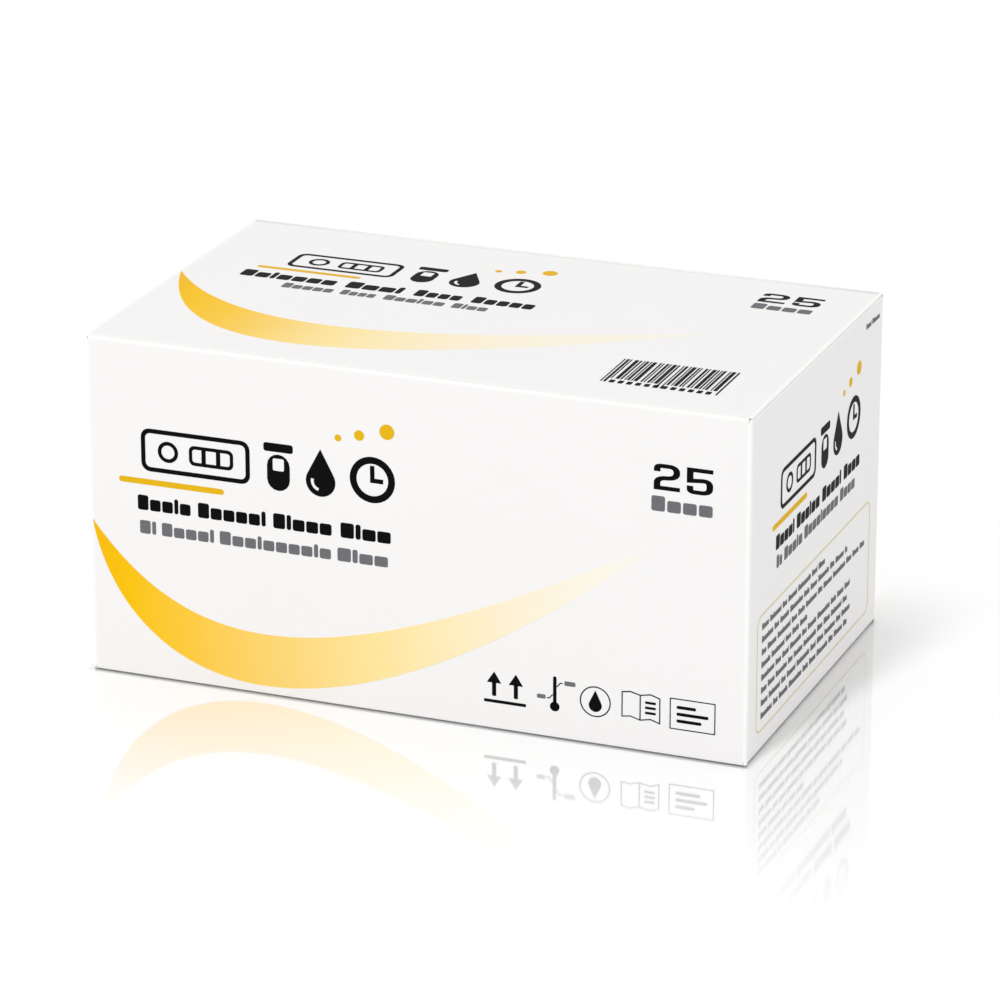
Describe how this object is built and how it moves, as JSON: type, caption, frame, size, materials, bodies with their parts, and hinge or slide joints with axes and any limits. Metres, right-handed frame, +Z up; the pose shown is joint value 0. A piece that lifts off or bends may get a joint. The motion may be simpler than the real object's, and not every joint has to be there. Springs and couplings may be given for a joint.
{
  "type": "test kit carton",
  "caption": "Closed folding carton with a tuck-in lid, a printed yellow sweep, and sealed pouches, sample tubes and a folded leaflet inside.",
  "frame": {"origin": "middle of the underside, on the surface that the carton stands on", "axes": "+X along the length, to the right of someone who faces the printed front; the front faces -Y; +Z up"},
  "size_m": [0.195, 0.1162, 0.1001],
  "materials": {
    "carton_board": "coated, satin",
    "printing_ink": "printed, satin",
    "pouch_foil": "satin foil",
    "tube_plastic": "smooth",
    "leaflet_paper": "uncoated"
  },
  "bodies": {
    "carton": {"carton_body": "carton_board", "front_sweep": "printing_ink", "back_sweep": "printing_ink", "leaflet": "leaflet_paper", "pouch_01": "pouch_foil", "pouch_02": "pouch_foil", "pouch_03": "pouch_foil", "pouch_04": "pouch_foil", "pouch_05": "pouch_foil", "pouch_06": "pouch_foil", "pouch_07": "pouch_foil", "pouch_08": "pouch_foil", "pouch_09": "pouch_foil", "pouch_10": "pouch_foil", "pouch_11": "pouch_foil", "pouch_12": "pouch_foil", "pouch_13": "pouch_foil", "pouch_14": "pouch_foil", "pouch_15": "pouch_foil", "pouch_16": "pouch_foil", "pouch_17": "pouch_foil", "pouch_18": "pouch_foil", "pouch_19": "pouch_foil", "pouch_20": "pouch_foil", "pouch_21": "pouch_foil", "pouch_22": "pouch_foil", "pouch_23": "pouch_foil", "pouch_24": "pouch_foil", "pouch_25": "pouch_foil", "sample_tube_01": "tube_plastic", "sample_tube_02": "tube_plastic", "sample_tube_03": "tube_plastic", "sample_tube_04": "tube_plastic", "sample_tube_05": "tube_plastic", "sample_tube_06": "tube_plastic", "sample_tube_07": "tube_plastic", "sample_tube_08": "tube_plastic", "sample_tube_09": "tube_plastic", "sample_tube_10": "tube_plastic", "sample_tube_11": "tube_plastic", "sample_tube_12": "tube_plastic", "sample_tube_13": "tube_plastic", "sample_tube_14": "tube_plastic", "sample_tube_15": "tube_plastic", "sample_tube_16": "tube_plastic", "sample_tube_17": "tube_plastic", "sample_tube_18": "tube_plastic", "sample_tube_19": "tube_plastic", "sample_tube_20": "tube_plastic", "sample_tube_21": "tube_plastic", "sample_tube_22": "tube_plastic", "sample_tube_23": "tube_plastic", "sample_tube_24": "tube_plastic", "sample_tube_25": "tube_plastic"},
    "lid": {"lid": "carton_board", "lid_sweep": "printing_ink"}
  },
  "joints": [
    {"name": "lid_hinge", "type": "hinge", "parent": "carton", "child": "lid", "pos_m": [0, 0.058, 0.1], "axis": [-1, 0, 0], "range_deg": [0, 225]}
  ]
}
